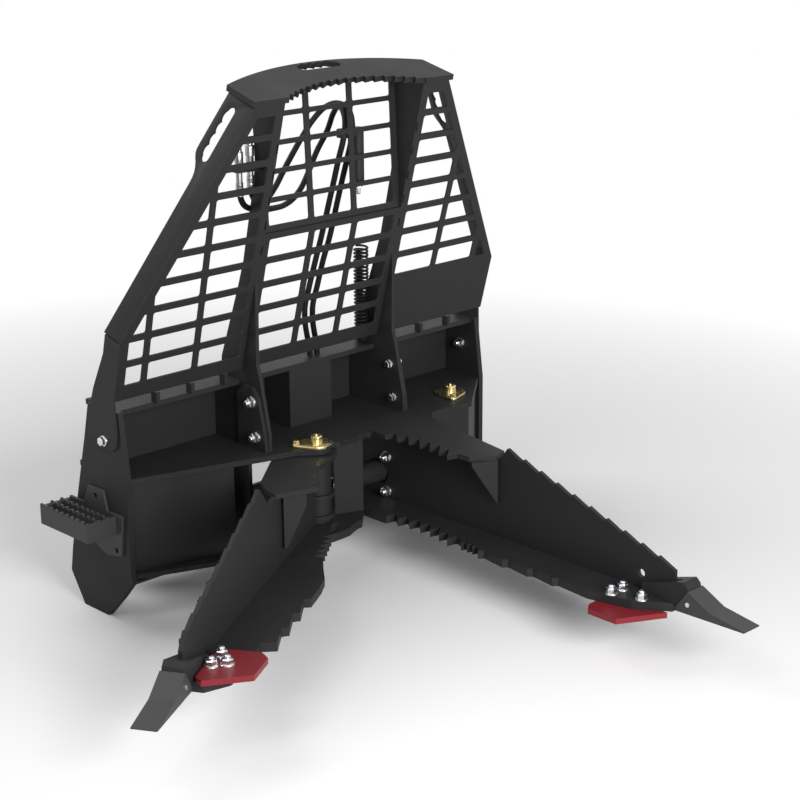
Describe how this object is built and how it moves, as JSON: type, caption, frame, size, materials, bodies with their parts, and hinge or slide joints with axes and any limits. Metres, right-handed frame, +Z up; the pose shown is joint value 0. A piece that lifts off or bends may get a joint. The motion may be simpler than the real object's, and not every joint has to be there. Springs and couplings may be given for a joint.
{
  "type": "tree puller",
  "caption": "Skid-steer tree puller: a swinging serrated jaw, driven by a cylinder, closes on a fixed jaw below a laser-cut guard.",
  "frame": {"origin": "centre of the coupler plate's rear seat face, where the loader's quick attach plate bears", "axes": "+Y out of the seat toward the loader, +Z up, +X to the right seen from in front of the jaws, so the fixed jaw points along -Y"},
  "size_m": [2.113, 1.8323, 1.575],
  "materials": {
    "frame_paint": "satin black powder coat",
    "tooth_paint": "satin black paint on cast steel",
    "blade_red": "satin red paint",
    "zinc": "bright zinc plate",
    "yellow_zinc": "yellow zinc plate",
    "chrome_rod": "hard chrome"
  },
  "bodies": {
    "frame": {"deck_plate": "frame_paint", "rear_wall": "frame_paint", "shelf_plate": "frame_paint", "shelf_tabs": "frame_paint", "centre_plate": "frame_paint", "side_plate_left": "frame_paint", "side_plate_right": "frame_paint", "cross_plate": "frame_paint", "left_panel": "frame_paint", "left_ledge": "frame_paint", "right_panel": "frame_paint", "cylinder_lug": "frame_paint", "coupler_plate": "frame_paint", "coupler_hook": "frame_paint", "coupler_foot": "frame_paint", "coupler_gussets": "frame_paint", "floor_gussets": "frame_paint", "fixed_jaw_plate": "frame_paint", "fixed_jaw_web": "frame_paint", "fixed_jaw_gusset": "frame_paint", "vertex_plate": "frame_paint", "fixed_blade": "blade_red", "fixed_blade_bolts": "zinc", "fixed_tooth_shank": "frame_paint", "fixed_tooth": "tooth_paint", "fixed_tooth_pin": "zinc", "pivot_pin": "yellow_zinc", "base_pin": "yellow_zinc", "frame_bolts": "zinc", "guard_wing_left": "frame_paint", "guard_wing_right": "frame_paint", "guard_centre": "frame_paint", "recess_panel": "frame_paint", "guard_rib_left": "frame_paint", "guard_rib_right": "frame_paint", "guard_top_plate": "frame_paint", "guard_flange_left": "frame_paint", "guard_flange_right": "frame_paint", "guard_skirt_left": "frame_paint", "guard_skirt_right": "frame_paint", "rib_brackets": "frame_paint", "step": "tooth_paint"},
    "moving_jaw": {"moving_jaw_plate": "frame_paint", "moving_top_plate": "frame_paint", "moving_jaw_web": "frame_paint", "moving_jaw_gusset": "frame_paint", "moving_blade": "blade_red", "moving_blade_bolts": "zinc", "moving_tooth_shank": "frame_paint", "moving_tooth": "tooth_paint", "moving_tooth_pin": "zinc", "hub_tube": "frame_paint", "lever_plates": "frame_paint", "rod_pin": "yellow_zinc"},
    "barrel": {"cylinder_barrel": "frame_paint"},
    "rod": {"cylinder_rod": "chrome_rod"}
  },
  "joints": [
    {"name": "jaw_swing", "type": "hinge", "parent": "frame", "child": "moving_jaw", "pos_m": [-0.14, -0.408, 0], "axis": [0, 0, 1], "range_deg": [-2, 60]},
    {"name": "barrel_swing", "type": "hinge", "parent": "frame", "child": "barrel", "pos_m": [0.512, -0.332, -0.102], "axis": [0, 0, 1], "range_deg": [-0.6, 0.8]},
    {"name": "rod_slide", "type": "slide", "parent": "barrel", "child": "rod", "axis": [-0.9995, 0.0303, 0], "range_m": [-0.004, 0.104]}
  ],
  "couplings": [
    {"joint": "barrel_swing", "follows": "jaw_swing", "ratio": 0.0037},
    {"joint": "rod_slide", "follows": "jaw_swing", "m_per_rad": 0.095}
  ]
}
